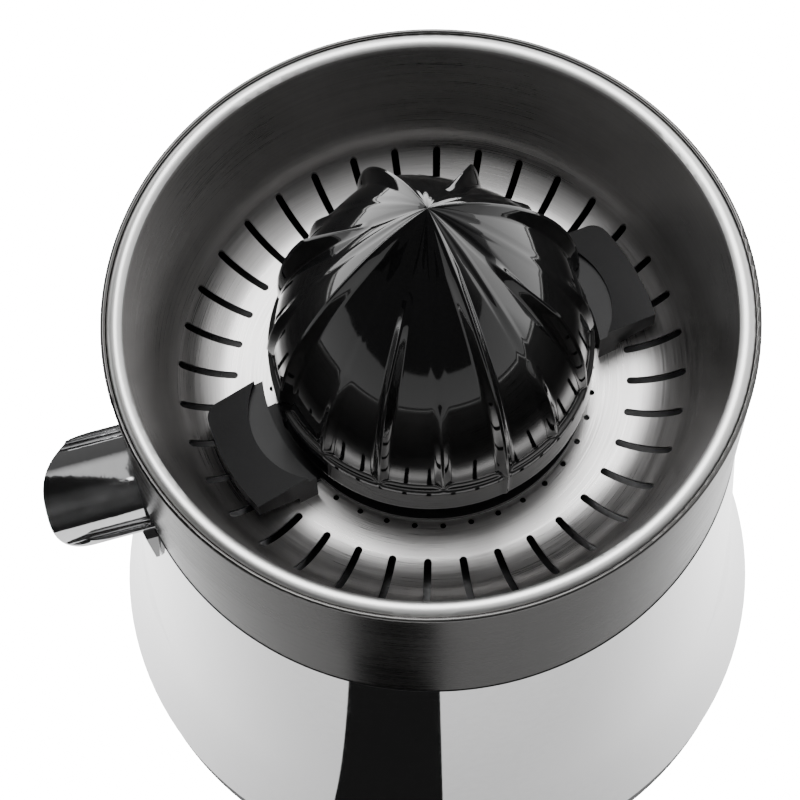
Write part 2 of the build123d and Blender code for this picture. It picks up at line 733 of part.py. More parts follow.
JOURNAL_R = 8.0
with BuildPart() as output_gear:
    with BuildSketch(Plane.XY.offset(121)):
        with BuildLine():
            phase = tooth_phase(150, WHEEL_TEETH, gap=False)
            Polyline(*gear_outline(SLOW_MODULE, WHEEL_TEETH, phase), close=True)
        make_face()
    extrude(amount=10)
    with BuildSketch(Plane.XY.offset(128)):
        Circle(26)
        Circle(12, mode=Mode.SUBTRACT)
    extrude(amount=3, mode=Mode.SUBTRACT)
    with BuildSketch(Plane.XY.offset(111.2)):
        Circle(9.4)
    extrude(amount=133.8 - 111.2)
    with BuildSketch(Plane.XY.offset(TRAY_Z + 0.2)):
        Circle(JOURNAL_R)
    extrude(amount=SPRING_SEAT_Z - TRAY_Z - 0.2)
    with BuildSketch(Plane.XY.offset(TRAY_Z)):
        RegularPolygon(hexagon_radius(HEX_ACROSS + 2 * HEX_GAP), 6)
    extrude(amount=40, mode=Mode.SUBTRACT)
save(output_gear.part, "output_gear")

AXLE_R = 3.0
with BuildPart() as idler_gear:
    with BuildSketch(Plane((IDLER_X, IDLER_Y, 112))):
        with BuildLine():
            phase = tooth_phase(90, WHEEL_TEETH, gap=False)
            Polyline(*gear_outline(FAST_MODULE, WHEEL_TEETH, phase), close=True)
        make_face()
    extrude(amount=6)
    with BuildSketch(Plane((IDLER_X, IDLER_Y, 118))):
        with BuildLine():
            phase = tooth_phase(330, PINION_TEETH, gap=True)
            Polyline(*gear_outline(SLOW_MODULE, PINION_TEETH, phase), close=True)
        make_face()
    extrude(amount=13.5)
    with BuildSketch(Plane((IDLER_X, IDLER_Y, 111))):
        Circle(5)
    extrude(amount=1)
    with BuildSketch(Plane((IDLER_X, IDLER_Y, 110))):
        Circle(AXLE_R + FIT)
    extrude(amount=30, mode=Mode.SUBTRACT)
save(idler_gear.part, "idler_gear")

with BuildPart() as idler_axle:
    with BuildSketch(Plane((IDLER_X, IDLER_Y, 108.6))):
        Circle(AXLE_R)
    extrude(amount=136 - 108.6)
    chamfer(idler_axle.edges(), 0.3)
save(idler_axle.part, "idler_axle")

with BuildPart() as lower_gear_bush:
    with BuildSketch(Plane.XY.offset(TRAY_Z)):
        Circle(11)
        Circle(JOURNAL_R + FIT, mode=Mode.SUBTRACT)
    extrude(amount=3)
save(lower_gear_bush.part, "lower_gear_bush")

with BuildPart() as upper_gear_bush:
    with BuildSketch(Plane.XY.offset(TRAY_TOP_Z)):
        Circle(11)
        Circle(JOURNAL_R + FIT, mode=Mode.SUBTRACT)
    extrude(amount=LID_TOP_Z - TRAY_TOP_Z)
save(upper_gear_bush.part, "upper_gear_bush")

# ---------------------------------------------------------------- gearbox casing
with BuildPart() as gearbox_tray:
    with BuildSketch(Plane.XY.offset(TRAY_Z)):
        Circle(36)
        with Locations((IDLER_X, IDLER_Y)):
            Circle(29)
        with Locations((MOTOR_X, MOTOR_Y)):
            Circle(20)
        make_hull()
    extrude(amount=TRAY_TOP_Z - TRAY_Z)
    with BuildSketch(Plane.XY.offset(TRAY_TOP_Z - 2.5)):
        Circle(36)
        with Locations((MOTOR_X, MOTOR_Y)):
            Circle(20)
        with Locations(*LUGS):
            Circle(6)
        make_hull()
    extrude(amount=2.5)
    with BuildSketch(Plane.XY.offset(TRAY_Z + 2.5)):
        Circle(33)
        with Locations((IDLER_X, IDLER_Y)):
            Circle(26)
        with Locations((MOTOR_X, MOTOR_Y)):
            Circle(16)
        make_hull()
    extrude(amount=30, mode=Mode.SUBTRACT)
    with BuildSketch(Plane.XY.offset(TRAY_Z)):
        Circle(11 + FIT)
        with Locations((MOTOR_X, MOTOR_Y)):
            Circle(6.5)
        with Locations((MOTOR_X - 12, MOTOR_Y), (MOTOR_X + 12, MOTOR_Y)):
            Circle(SCREW_R + SCREW_GAP)
        with Locations(*LUGS):
            Circle(SCREW_R + SCREW_GAP)
    extrude(amount=40, mode=Mode.SUBTRACT)
    with BuildSketch(Plane((IDLER_X, IDLER_Y, 108.6))):
        Circle(AXLE_R + FIT)
    extrude(amount=5, mode=Mode.SUBTRACT)
    # plate that carries the switch
    with BuildSketch(Plane.XY.offset(TRAY_Z)):
        with Locations((16, 4.7)):
            Rectangle(21, 2.4)
    extrude(amount=-26)
    with BuildSketch(Plane.XZ):
        with Locations((8.5, 89), (18, 89)):
            Circle(1.1)
    extrude(amount=-10, mode=Mode.SUBTRACT)
save(gearbox_tray.part, "gearbox_tray")

with BuildPart() as gearbox_lid:
    with BuildSketch(Plane.XY.offset(TRAY_TOP_Z)):
        Circle(36)
        with Locations((MOTOR_X, MOTOR_Y)):
            Circle(20)
        with Locations(*LUGS):
            Circle(6)
        make_hull()
    extrude(amount=LID_TOP_Z - TRAY_TOP_Z)
    with BuildSketch(Plane.XY.offset(TRAY_TOP_Z)):
        Circle(11 + FIT)
        with Locations(*LUGS):
            Circle(SCREW_R + SCREW_GAP)
    extrude(amount=10, mode=Mode.SUBTRACT)
    with BuildSketch(Plane((IDLER_X, IDLER_Y, TRAY_TOP_Z))):
        Circle(AXLE_R + FIT)
    extrude(amount=2.1, mode=Mode.SUBTRACT)
save(gearbox_lid.part, "gearbox_lid")

with BuildPart() as gearbox_screws:
    with BuildSketch(Plane.XY.offset(TRAY_TOP_Z - 4.5)):
        with Locations(*LUGS):
            Circle(3)
    extrude(amount=2)
    with BuildSketch(Plane.XY.offset(TRAY_TOP_Z - 4.5)):
        with Locations(*LUGS):
            Rectangle(4, 0.8)
            Rectangle(0.8, 4)
    extrude(amount=1, mode=Mode.SUBTRACT)
    with BuildSketch(Plane.XY.offset(TRAY_TOP_Z - 2.5)):
        with Locations(*LUGS):
            Circle(SCREW_R)
    extrude(amount=13)
save(gearbox_screws.part, "gearbox_screws")

# ---------------------------------------------------------------- motor
CAN_R, CAN_Z, CAN_TOP_Z = 31.0, 36.0, 102.0
SHAFT_R = 2.5
motor_axis = Plane((MOTOR_X, MOTOR_Y, 0))
with BuildPart() as motor_can:
    with BuildSketch(motor_axis.offset(CAN_Z)):
        Circle(CAN_R)
    extrude(amount=CAN_TOP_Z - CAN_Z)
    fillet(motor_can.edges().group_by(Axis.Z)[0], 2)
    with BuildSketch(motor_axis.offset(CAN_Z + 1.5)):
        Circle(CAN_R - 1.2)
    extrude(amount=80, mode=Mode.SUBTRACT)
    with BuildSketch(motor_axis.offset(CAN_Z - 5)):
        Circle(7.5)
    extrude(amount=6)
    with BuildSketch(motor_axis.offset(CAN_Z - 5)):
        Circle(5 + FIT)
        with PolarLocations(18, 6):
            Circle(3)
    extrude(amount=10, mode=Mode.SUBTRACT)
save(motor_can.part, "motor_can")

with BuildPart() as motor_plate:
    with BuildSketch(motor_axis.offset(CAN_TOP_Z)):
        Circle(CAN_R)
        Circle(5 + FIT, mode=Mode.SUBTRACT)
        with Locations((-12, 0), (12, 0)):
            Circle(SCREW_R + SCREW_GAP, mode=Mode.SUBTRACT)
    extrude(amount=TRAY_Z - CAN_TOP_Z)
save(motor_plate.part, "motor_plate")

with BuildPart() as motor_screws:
    with BuildSketch(motor_axis.offset(TRAY_Z + 2.5)):
        with Locations((-12, 0), (12, 0)):
            Circle(2.6)
    extrude(amount=1.2)
    with BuildSketch(motor_axis.offset(TRAY_Z + 2.5)):
        with Locations((-12, 0), (12, 0)):
            Circle(SCREW_R)
    extrude(amount=-8)
save(motor_screws.part, "motor_screws")

with BuildPart() as motor_bushes:
    for bush_z, bush_h in ((CAN_Z - 4.5, 5.5), (CAN_TOP_Z + 0.2, 5.6)):
        with BuildSketch(motor_axis.offset(bush_z)):
            Circle(5)
            Circle(SHAFT_R + FIT, mode=Mode.SUBTRACT)
        extrude(amount=bush_h)
save(motor_bushes.part, "motor_bushes")

with BuildPart() as field_magnets:
    with BuildSketch(motor_axis.offset(50)):
        Circle(CAN_R - 1.3)
        Circle(18.2, mode=Mode.SUBTRACT)
        Rectangle(80, 16, mode=Mode.SUBTRACT)
    extrude(amount=40)
save(field_magnets.part, "field_magnets")

with BuildPart() as armature:
    with BuildSketch(motor_axis.offset(52)):
        Circle(17)
        with PolarLocations(12.5, 10):
            Rectangle(6, 3.6, mode=Mode.SUBTRACT)
        with PolarLocations(16, 10):
            Rectangle(3, 1.4, mode=Mode.SUBTRACT)
        Circle(SHAFT_R + FIT, mode=Mode.SUBTRACT)
    extrude(amount=36)
save(armature.part, "armature")

with BuildPart() as armature_windings:
    for coil_z in (45.5, 88.1):
        with BuildSketch(motor_axis.offset(coil_z)):
            Circle(15)
            Circle(4, mode=Mode.SUBTRACT)
        extrude(amount=6.4)
    fillet(armature_windings.edges().filter_by(GeomType.CIRCLE), 1.6)
save(armature_windings.part, "armature_windings")

with BuildPart() as motor_shaft:
    with BuildSketch(motor_axis.offset(20)):
        Circle(SHAFT_R)
    extrude(amount=92)
    with BuildSketch(motor_axis.offset(111.2)):
        with BuildLine():
            phase = tooth_phase(270, PINION_TEETH, gap=True)
            Polyline(*gear_outline(FAST_MODULE, PINION_TEETH, phase), close=True)
        make_face()
    extrude(amount=8.3)
save(motor_shaft.part, "motor_shaft")

COMMUTATOR_BARS = 10
with BuildPart() as commutator:
    with BuildSketch(motor_axis.offset(39.8)):
        Circle(7.4)
        Circle(SHAFT_R + FIT, mode=Mode.SUBTRACT)
        with PolarLocations(7, COMMUTATOR_BARS):
            Rectangle(1.6, 0.5, mode=Mode.SUBTRACT)
    extrude(amount=5)
save(commutator.part, "commutator")

with BuildPart() as motor_brushes:
    with BuildSketch(motor_axis.offset(40.3)):
        with PolarLocations(11.6, 2):
            Rectangle(8, 4)
    extrude(amount=4)
save(motor_brushes.part, "motor_brushes")

with BuildPart() as brush_card:
    with BuildSketch(motor_axis.offset(38.2)):
        Circle(CAN_R - 1.3)
        Circle(8.5, mode=Mode.SUBTRACT)
    extrude(amount=1.4)
    # guides either side of each brush
    with BuildSketch(motor_axis.offset(39.6)):
        with PolarLocations(17.6, 2):
            Rectangle(14, 7)
            Rectangle(14.2, 4.2, mode=Mode.SUBTRACT)
    extrude(amount=4.4)
save(brush_card.part, "brush_card")

FAN_BLADES = 9
with BuildPart() as cooling_fan:
    with BuildSketch(motor_axis.offset(21)):
        Circle(7)
    extrude(amount=8)
    with BuildSketch(motor_axis.offset(27.5)):
        Circle(25)
    extrude(amount=1.5)
    with BuildSketch(motor_axis.offset(21)):
        with PolarLocations(15.5, FAN_BLADES):
            Rectangle(18, 1.4, rotation=14)
    extrude(amount=6.6)
    with BuildSketch(motor_axis.offset(20)):
        Circle(SHAFT_R + FIT)
    extrude(amount=12, mode=Mode.SUBTRACT)
save(cooling_fan.part, "cooling_fan")

# ---------------------------------------------------------------- switch under the spindle
LEVER_Z = 99.6  # top of the lever at rest, just under the spindle
LEVER_PIVOT_X = 20.0
PLUNGER_X = 8.0
CASE_Z, CASE_TOP_Z = 84.0, 94.0
with BuildPart() as switch_case:
    with BuildSketch(Plane.XY.offset(CASE_Z)):
        with Locations((12, 0)):
            Rectangle(20, 6.8)
    extrude(amount=CASE_TOP_Z - CASE_Z)
    fillet(switch_case.edges().filter_by(Axis.Z), 0.6)
    with BuildSketch(Plane.XY.offset(CASE_TOP_Z)):
        with Locations((LEVER_PIVOT_X, 2.7), (LEVER_PIVOT_X, -2.7)):
            Rectangle(3, 1.0)
    extrude(amount=5)
    with BuildSketch(Plane.XZ.offset(-4)):
        with Locations((LEVER_PIVOT_X, 97)):
            Circle(0.7)
        with Locations((8.5, 89), (18, 89)):
            Circle(1.05)
    extrude(amount=8, mode=Mode.SUBTRACT)
    with BuildSketch(Plane.XY.offset(CASE_TOP_Z)):
        with Locations((PLUNGER_X, 0)):
            Circle(1.25)
    extrude(amount=-4, mode=Mode.SUBTRACT)
    # terminals
    with BuildSketch(Plane.XY.offset(CASE_Z)):
        with Locations((5, 0), (12, 0), (19, 0)):
            Rectangle(0.8, 3.2)
    extrude(amount=-5)
save(switch_case.part, "switch_case")

with BuildPart() as switch_lever:
    with BuildSketch(Plane.XZ.offset(-2)):
        with BuildLine():
            Polyline(
                (21, 97.6),
                (18.6, 97.6),
                (8, 97.6),
                (0.5, LEVER_Z),
                (-3.5, LEVER_Z),
                (-3.5, LEVER_Z - 0.5),
                (0.3, LEVER_Z - 0.5),
                (8, 97.1),
                (18.6, 97.1),
                (21, 97.1),
                close=True,
            )
        make_face()
        with Locations((LEVER_PIVOT_X, 97)):
            Circle(1.3)
    extrude(amount=4)
    with BuildSketch(Plane.XZ.offset(-3)):
        with Locations((LEVER_PIVOT_X, 97)):
            Circle(0.65)
    extrude(amount=6, mode=Mode.SUBTRACT)
save(switch_lever.part, "switch_lever")

with BuildPart() as lever_pin:
    with BuildSketch(Plane.XZ.offset(-3.2)):
        with Locations((LEVER_PIVOT_X, 97)):
            Circle(0.6)
    extrude(amount=6.4)
save(lever_pin.part, "lever_pin")

with BuildPart() as switch_plunger:
    with BuildSketch(Plane.XY.offset(CASE_TOP_Z - 1.9)):
        with Locations((PLUNGER_X, 0)):
            Circle(1.2)
    extrude(amount=4.7)
    fillet(switch_plunger.faces().sort_by(Axis.Z)[-1].edges(), 0.6)
save(switch_plunger.part, "switch_plunger")

with BuildPart() as switch_screws:
    with BuildSketch(Plane.XZ.offset(3.4)):
        with Locations((8.5, 89), (18, 89)):
            Circle(1.9)
    extrude(amount=1.2)
    with BuildSketch(Plane.XZ.offset(3.4)):
        with Locations((8.5, 89), (18, 89)):
            Circle(1.0)
    extrude(amount=-9)
save(switch_screws.part, "switch_screws")
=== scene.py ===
from math import cos, degrees, pi, radians, sin

import bpy
from mathutils import Matrix, Vector


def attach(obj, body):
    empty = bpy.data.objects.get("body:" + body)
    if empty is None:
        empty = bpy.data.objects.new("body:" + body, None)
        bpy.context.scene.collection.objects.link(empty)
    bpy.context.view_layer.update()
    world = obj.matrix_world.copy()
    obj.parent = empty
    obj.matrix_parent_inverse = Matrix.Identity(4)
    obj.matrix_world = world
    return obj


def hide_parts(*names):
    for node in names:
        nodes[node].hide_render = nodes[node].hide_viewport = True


# Electric citrus press on a pale floor. Metres. +Z is up and the spout points along -Y.
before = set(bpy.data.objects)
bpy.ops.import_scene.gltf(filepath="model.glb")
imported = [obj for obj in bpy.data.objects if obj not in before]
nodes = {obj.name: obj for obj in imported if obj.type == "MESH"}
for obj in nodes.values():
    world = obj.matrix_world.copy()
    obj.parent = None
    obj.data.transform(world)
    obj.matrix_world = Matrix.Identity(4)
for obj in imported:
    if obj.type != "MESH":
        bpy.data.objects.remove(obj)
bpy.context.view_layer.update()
MM = 0.001
VIEW_TURN = 75.3  # azimuth of the viewer's right-hand side


# ---------------------------------------------------------------- nodes of a material
MIX_FIRST, MIX_SECOND, MIX_RESULT = 6, 7, 2  # colour sockets of the Mix node
WHITE = (1.0, 1.0, 1.0, 1.0)


class Tree:
    """A node tree with short calls for the nodes used here."""

    def __init__(self, tree):
        self.tree = tree
        tree.nodes.clear()

    def add(self, kind, settings=None, **inputs):
        node = self.tree.nodes.new(kind)
        for key, value in (settings or {}).items():
            setattr(node, key, value)
        for key, value in inputs.items():
            self.put(node.inputs[key.replace("_", " ")], value)
        return node

    def put(self, socket, value):
        """Links the socket to another node's output, or gives it a plain value."""
        if isinstance(value, bpy.types.NodeSocket):
            self.tree.links.new(value, socket)
        else:
            socket.default_value = value

    def fill(self, node, *values):
        """Gives the node's sockets these values, in order."""
        for socket, value in zip(node.inputs, values):
            self.put(socket, value)
        return node.outputs[0]

    def math(self, operation, first, second=0.0):
        return self.fill(self.add("ShaderNodeMath", {"operation": operation}), first, second)

    def spread(self, value, low, high, start=0.0, end=1.0):
        """Maps a value that runs from start to end onto low to high."""
        node = self.add("ShaderNodeMapRange", {"interpolation_type": "SMOOTHSTEP"})
        return self.fill(node, value, start, end, low, high)

    def blend(self, factor, first, second):
        """Mixes two colours."""
        node = self.add("ShaderNodeMix", {"data_type": "RGBA"})
        for socket, value in (("Factor", factor), (MIX_FIRST, first), (MIX_SECOND, second)):
            self.put(node.inputs[socket], value)
        return node.outputs[MIX_RESULT]

    def by_camera_ray(self, others, camera):
        """One shader for what the camera sees directly, another for every other ray."""
        ray = self.add("ShaderNodeLightPath")
        return self.fill(self.add("ShaderNodeMixShader"), ray.outputs["Is Camera Ray"], others, camera)

    def finish(self, shader, kind="ShaderNodeOutputMaterial"):
        self.put(self.add(kind).inputs[0], shader)


def new_material(name):
    material = bpy.data.materials.new(name)
    material.use_nodes = True
    return material, Tree(material.node_tree)


STREAK_DETAIL, STREAK_ROUGHNESS = 3.0, 0.6
CLOUD_SCALE, CLOUD_DETAIL, CLOUD_SHARE = 22.0, 2.0, 0.1  # large soft patches in the gloss
GRAIN_LOW, GRAIN_HIGH = 0.3, 0.7  # the range that the noise mostly keeps to
TINT_LOW, TINT_HIGH = 0.25, 0.75  # a wider range, for the softer change of colour


def around_axis(tree, fine, along):
    """4-D noise that changes quickly across the brushing and slowly along it."""
    place = tree.add("ShaderNodeTexCoord").outputs["Object"]
    split = tree.add("ShaderNodeSeparateXYZ", Vector=place)
    x, y, z = split.outputs
    squares = tree.math("ADD", tree.math("MULTIPLY", x, x), tree.math("MULTIPLY", y, y))
    radius = tree.math("SQRT", squares)
    cosine = tree.math("MULTIPLY", tree.math("DIVIDE", x, radius), along)
    sine = tree.math("MULTIPLY", tree.math("DIVIDE", y, radius), along)
    corner = tree.add("ShaderNodeCombineXYZ", X=tree.math("MULTIPLY", radius, fine),
                      Y=tree.math("MULTIPLY", z, fine), Z=cosine)
    noise = tree.add("ShaderNodeTexNoise", {"noise_dimensions": "4D"}, Vector=corner.outputs[0], W=sine,
                     Scale=1.0, Detail=STREAK_DETAIL, Roughness=STREAK_ROUGHNESS)
    return noise.outputs[0]


def grain(tree, scale, detail=3.0):
    """Plain noise in the object's own space; scale is in features per metre."""
    place = tree.add("ShaderNodeTexCoord").outputs["Object"]
    return tree.add("ShaderNodeTexNoise", Vector=place, Scale=scale, Detail=detail).outputs[0]


def finish_material(name, colour, roughness, metallic=0.0, tint=0.06, rough_change=0.15, bump=0.02,
                    bump_depth=0.00005, size=900.0, brushed=None, anisotropy=0.0, specular=0.5,
                    lip=None, edge=1.0):
    """A metal or plastic whose colour, gloss and surface vary with its own grain.

    brushed is the fineness across the brushing and along it, and lip is a range of heights
    with the colour and roughness above it; that colour is a painted highlight.
    """
    material, tree = new_material(name)
    noise = around_axis(tree, *brushed) if brushed else grain(tree, size)
    cloud = grain(tree, CLOUD_SCALE, CLOUD_DETAIL)
    dark = [c * (1 - tint) for c in colour] + [1.0]
    light = [min(1.0, c * (1 + tint)) for c in colour] + [1.0]
    paint = tree.blend(tree.spread(noise, 0.0, 1.0, TINT_LOW, TINT_HIGH), dark, light)
    smoother, rougher = roughness * (1 - rough_change), roughness * (1 + rough_change)
    patch = CLOUD_SHARE * roughness
    rough = tree.math("ADD", tree.spread(noise, smoother, rougher, GRAIN_LOW, GRAIN_HIGH),
                      tree.spread(cloud, -patch, patch, GRAIN_LOW, GRAIN_HIGH))
    raised = tree.add("ShaderNodeBump", Strength=bump, Distance=bump_depth, Height=noise)
    # above these heights the colour is a painted highlight, and the roughness is the lip's own satin
    if lip:
        (low, high), lip_colour, lip_rough = lip
        place = tree.add("ShaderNodeTexCoord").outputs["Object"]
        split = tree.add("ShaderNodeSeparateXYZ", Vector=place)
        above = tree.spread(split.outputs["Z"], 0.0, 1.0, low, high)
        paint = tree.blend(above, paint, [*lip_colour, 1.0])
        rough = tree.math("ADD", tree.math("MULTIPLY", rough, tree.math("SUBTRACT", 1.0, above)),
                          tree.math("MULTIPLY", above, lip_rough))
    shader = tree.add("ShaderNodeBsdfPrincipled", Base_Color=paint, Roughness=rough,
                      Normal=raised.outputs[0], Metallic=metallic)
    shader.inputs["Specular IOR Level"].default_value = specular
    shader.inputs["Specular Tint"].default_value = (edge, edge, edge, 1.0)
    if anisotropy:
        shader.inputs["Anisotropic"].default_value = anisotropy
        tangent = tree.add("ShaderNodeTangent", {"direction_type": "RADIAL", "axis": "Z"})
        tree.put(shader.inputs["Tangent"], tangent.outputs[0])
    tree.finish(shader.outputs[0])
    return material


MATERIALS = {
    "polished_steel": dict(colour=(0.74, 0.74, 0.745), roughness=0.05, metallic=1.0, tint=0.02,
                           bump=0.004, size=320.0),
    "brushed_steel": dict(colour=(0.62, 0.61, 0.605), roughness=0.36, metallic=1.0, tint=0.09,
                          rough_change=0.25, bump=0.05, brushed=(5200.0, 2.2), anisotropy=0.45),
    "cone_plastic": dict(colour=(0.004, 0.004, 0.0043), roughness=0.05, tint=0.2, bump=0.003, specular=0.4),
    "satin_plastic": dict(colour=(0.008, 0.008, 0.0085), roughness=0.34, tint=0.15, bump=0.05,
                          size=2600.0, specular=0.16),
    "base_plastic": dict(colour=(0.03, 0.03, 0.032), roughness=0.5, tint=0.15, bump=0.12, size=2200.0),
    "deck_plastic": dict(colour=(0.10, 0.10, 0.105), roughness=0.45, tint=0.12, bump=0.08, size=2000.0),
    "rubber": dict(colour=(0.022, 0.022, 0.023), roughness=0.72, tint=0.2, bump=0.15, size=1800.0,
                   specular=0.3),
    "shaft_steel": dict(colour=(0.55, 0.55, 0.56), roughness=0.2, metallic=1.0, bump=0.05,
                        brushed=(4000.0, 1.5)),
    "zinc_steel": dict(colour=(0.62, 0.63, 0.65), roughness=0.3, metallic=1.0, bump=0.06, size=1500.0),
    "spring_steel": dict(colour=(0.42, 0.42, 0.44), roughness=0.28, metallic=1.0, bump=0.05),
    "bronze": dict(colour=(0.55, 0.37, 0.19), roughness=0.38, metallic=1.0, bump=0.1, size=2400.0),
    "gear_nylon": dict(colour=(0.76, 0.74, 0.67), roughness=0.42, tint=0.03, bump=0.04),
    "gearbox_plastic": dict(colour=(0.48, 0.49, 0.50), roughness=0.5, tint=0.05, bump=0.08, size=1500.0),
    "can_steel": dict(colour=(0.42, 0.43, 0.44), roughness=0.32, metallic=1.0, bump=0.05, size=700.0),
    "lamination": dict(colour=(0.24, 0.24, 0.25), roughness=0.4, metallic=1.0, bump=0.3,
                       brushed=(3000.0, 0.5)),
    "copper": dict(colour=(0.62, 0.26, 0.10), roughness=0.3, metallic=1.0, bump=0.1, size=1400.0),
    "ferrite": dict(colour=(0.08, 0.08, 0.085), roughness=0.6, bump=0.1),
    "carbon": dict(colour=(0.04, 0.04, 0.04), roughness=0.55, bump=0.12),
    "phenolic": dict(colour=(0.24, 0.11, 0.05), roughness=0.5, bump=0.08),
    "switch_plastic": dict(colour=(0.05, 0.05, 0.053), roughness=0.45, bump=0.08),
    "switch_red": dict(colour=(0.50, 0.05, 0.035), roughness=0.35, bump=0.04),
    "fan_plastic": dict(colour=(0.08, 0.08, 0.085), roughness=0.48, bump=0.06),
}
finishes = {slot: finish_material(slot + "_finish", **given) for slot, given in MATERIALS.items()}
for node in nodes.values():
    for place in node.material_slots:
        place.material = finishes[place.material.name.split(".")[0]]


def refinish(node, name, base, **changes):
    """Gives one node a finish of its own that differs from its slot's."""
    nodes[node].material_slots[0].material = finish_material(name, **dict(MATERIALS[base], **changes))


# heights of the filter's lip, its painted-highlight colour and its satin roughness
LIP_FROM, LIP_TO, LIP_HIGHLIGHT_COLOUR, LIP_ROUGHNESS = 0.2215, 0.2226, (0.93, 0.93, 0.92), 0.42
# the band is brushed darker than the filter; the inside of the bowl is satin, and its near-black colour is
# painted shade of the hollow under the filter
refinish("bowl_band", "band_finish", "brushed_steel",
         colour=(0.12, 0.118, 0.116), roughness=0.25, edge=0.5, anisotropy=0.7)
refinish("juice_bowl", "bowl_finish", "polished_steel",
         colour=(0.07, 0.07, 0.071), roughness=0.34, size=900.0)
# the filter's crowned lip is plain satin, without the brushing; its near-white colour is a painted highlight
# standing in for the bright band that the lip reflects
refinish("filter_basket", "filter_finish", "brushed_steel",
         lip=((LIP_FROM, LIP_TO), LIP_HIGHLIGHT_COLOUR, LIP_ROUGHNESS))
refinish("spout_foot", "foot_finish", "polished_steel", colour=(0.22, 0.22, 0.222), roughness=0.12)


# ---------------------------------------------------------------- juicing cone
RIM_Z = 224.0
# millimetres, and heights are above the rim
CONE_WIDE_Z, CONE_APEX_Z = -22.0, 65.4
CONE_BASE_Z, CONE_LEDGE, LEDGE_TOP = -35.2, -21.5, -19.5
CONE_R, CONE_BAND_R = 52.2, 50.9
CONE_PHASE = 10.8  # azimuth of the first main fin, in degrees
CREST_POWER, CREST_ROUND, SKIRT_TUCK = 2.1, 0.8, 0.07
PANEL_DEPTH, VALLEY_DEPTH = 0.055, 0.42  # shares of the crest's radius
VALLEY_POWER, RIDGE_SHARE = 1.5, 0.3
FLATNESS, FLAT_RISE = 0.2, 1.6  # of the panels near the tip
FIN_HALF_W, FIN_FOOT_HALF_W, FIN_GROW = 3.0, 1.2, 2.0
FIN_MOST_ANGLE, FIN_POWER = 9.0, 1.25
LEAST_R = 0.5  # keeps the fins' angles finite at the tip
SECOND_TOP, SECOND_FADE, SECOND_SHARE = 44.5, 22.0, 0.97
THIRD_TOP, THIRD_FADE, THIRD_HEIGHT, THIRD_FOOT = 16.0, 14.0, 2.0, 3.0
PLACE = 22.5  # degrees between neighbouring fins
FLANK_STEPS, PANEL_STEPS = 5, 7
LEDGE_STEPS, UPPER_STEPS, UPPER_POWER = 5, 100, 1.5
# rows above the lower edge, and how much the lowest two are drawn in
LOWER_ROWS = [0.25, 0.7, 1.5, 3.0, 4.5, 6.0, 7.5, 9.0, 10.5]
EDGE_DRAWN_IN = (0.994, 0.998)
# radius and height of the hollow inside
INSIDE = [(11.8, -16.0), (12.0, 41.0), (22.0, 35.0), (31.5, 24.0), (38.0, 11.0), (42.6, -4.0), (45.3, -18.0),
          (46.8, -28.0), (46.8, CONE_BASE_Z)]


def clamp(value):
    return min(1.0, max(0.0, value))


def rise(z):
    """0 where the cone is widest, 1 at its tip."""
    return clamp((z - CONE_WIDE_Z) / (CONE_APEX_Z - CONE_WIDE_Z))


def crest_radius(z):
    """Radius over the main fins."""
    tuck = SKIRT_TUCK * max(0.0, CONE_WIDE_Z - z)
    return CONE_R * (1 - rise(z) ** CREST_POWER) ** CREST_ROUND - tuck


def panel_radius(z, offset):
    """Radius of a panel so many degrees from the nearest main fin."""
    band = clamp((LEDGE_TOP - z) / (LEDGE_TOP - CONE_LEDGE))
    depth = VALLEY_DEPTH * rise(z) ** VALLEY_POWER
    ridge, gully = 1 - PANEL_DEPTH - RIDGE_SHARE * depth, 1 - PANEL_DEPTH - depth
    bowed = ridge + (gully - ridge) * offset / 45
    across = ridge * sin(radians(offset)) + gully * sin(radians(45 - offset))
    straight = ridge * gully * sin(pi / 4) / across
    panel = crest_radius(z) * (bowed + (straight - bowed) * FLATNESS * clamp(FLAT_RISE * rise(z)))
    return panel + (CONE_BAND_R - panel) * band ** 2


def fin_radius(kind, z):
    """Radius over the edge of a main, second or third fin."""
    crest = crest_radius(z)
    if kind == "main":
        return crest
    if kind == "second":
        panel = panel_radius(z, 45)
        height = max(0.0, SECOND_SHARE * crest - panel)
        return panel + height * clamp((SECOND_TOP - z) / SECOND_FADE)
    panel = panel_radius(z, PLACE)
    foot = clamp((z - CONE_LEDGE) / THIRD_FOOT)
    return panel + THIRD_HEIGHT * clamp((THIRD_TOP - z) / THIRD_FADE) * foot


def cone_row(z):
    """One closed row of points round the cone at this height."""
    half_width = FIN_FOOT_HALF_W + (FIN_HALF_W - FIN_FOOT_HALF_W) * clamp((z - CONE_LEDGE) / FIN_GROW)
    half_angle = min(FIN_MOST_ANGLE, degrees(half_width / max(LEAST_R, crest_radius(z))))
    panel_angle = PLACE / 2 - half_angle
    steps = [-PLACE / 2 + panel_angle * i / PANEL_STEPS for i in range(PANEL_STEPS)]
    steps += [-half_angle + half_angle * i / FLANK_STEPS for i in range(FLANK_STEPS)]
    steps += [half_angle * i / FLANK_STEPS for i in range(FLANK_STEPS)]
    steps += [half_angle + panel_angle * i / PANEL_STEPS for i in range(PANEL_STEPS)]
    row = []
    for quarter in range(4):
        for place, kind in enumerate(("main", "third", "second", "third")):
            crest = fin_radius(kind, z)
            for step in steps:
                turn = PLACE * place + step
                offset = min(abs(turn), 90 - abs(turn))
                radius = panel_radius(z, offset)
                blend = clamp(1 - abs(step) / half_angle) ** FIN_POWER
                radius += (crest - radius) * blend
                angle = radians(CONE_PHASE + 90 * quarter + turn)
                row.append((radius * cos(angle) * MM, radius * sin(angle) * MM, (RIM_Z + z) * MM))
    return row


def make_mesh(name, points, faces, material, smooth=True):
    mesh = bpy.data.meshes.new(name)
    mesh.from_pydata(points, [], faces)
    mesh.validate()
    mesh.materials.append(material)
    mesh.polygons.foreach_set("use_smooth", [smooth] * len(mesh.polygons))
    piece = bpy.data.objects.new(name, mesh)
    bpy.context.scene.collection.objects.link(piece)
    return piece


